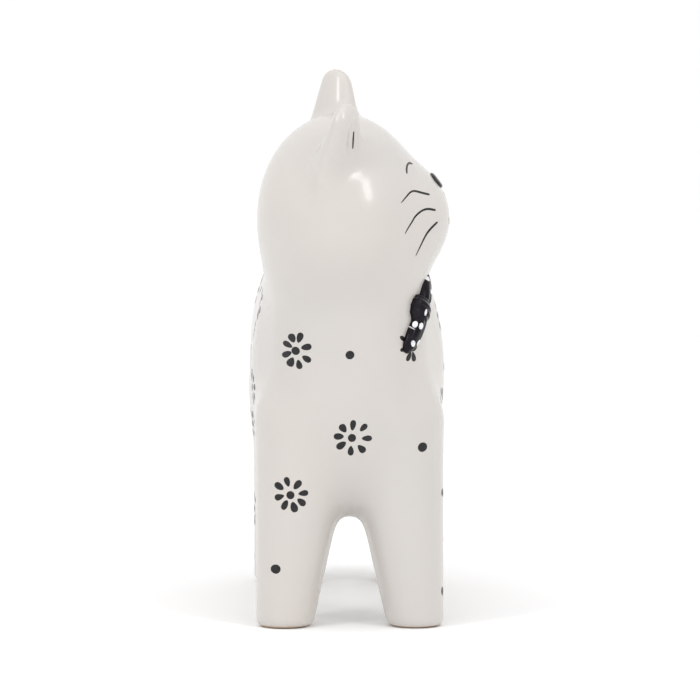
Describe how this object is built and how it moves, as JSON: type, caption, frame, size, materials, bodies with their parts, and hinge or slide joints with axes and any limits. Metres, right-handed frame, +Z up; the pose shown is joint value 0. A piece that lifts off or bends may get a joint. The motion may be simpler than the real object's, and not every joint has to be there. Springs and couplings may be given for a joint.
{
  "type": "ceramic cat figurine",
  "caption": "Hollow glazed ceramic cat standing on its legs, head turned to its left, raised tail, bow at the neck and hand-painted flowers.",
  "frame": {"origin": "on the table, under the middle of the figurine's length and width", "axes": "+Z up, -Y the way the cat's chest points, +X the way its turned face looks"},
  "size_m": [0.0608, 0.15, 0.1669],
  "materials": {
    "white_glaze": "warm off-white gloss glaze",
    "black_enamel": "black gloss overglaze enamel"
  },
  "bodies": {
    "root": {"body_casting": "white_glaze", "head_casting": "white_glaze", "right_ear": "white_glaze", "left_ear": "white_glaze", "tail": "white_glaze", "nose": "black_enamel", "bow_knot": "black_enamel", "bow_right_loop": "black_enamel", "bow_left_loop": "black_enamel"}
  },
  "joints": []
}
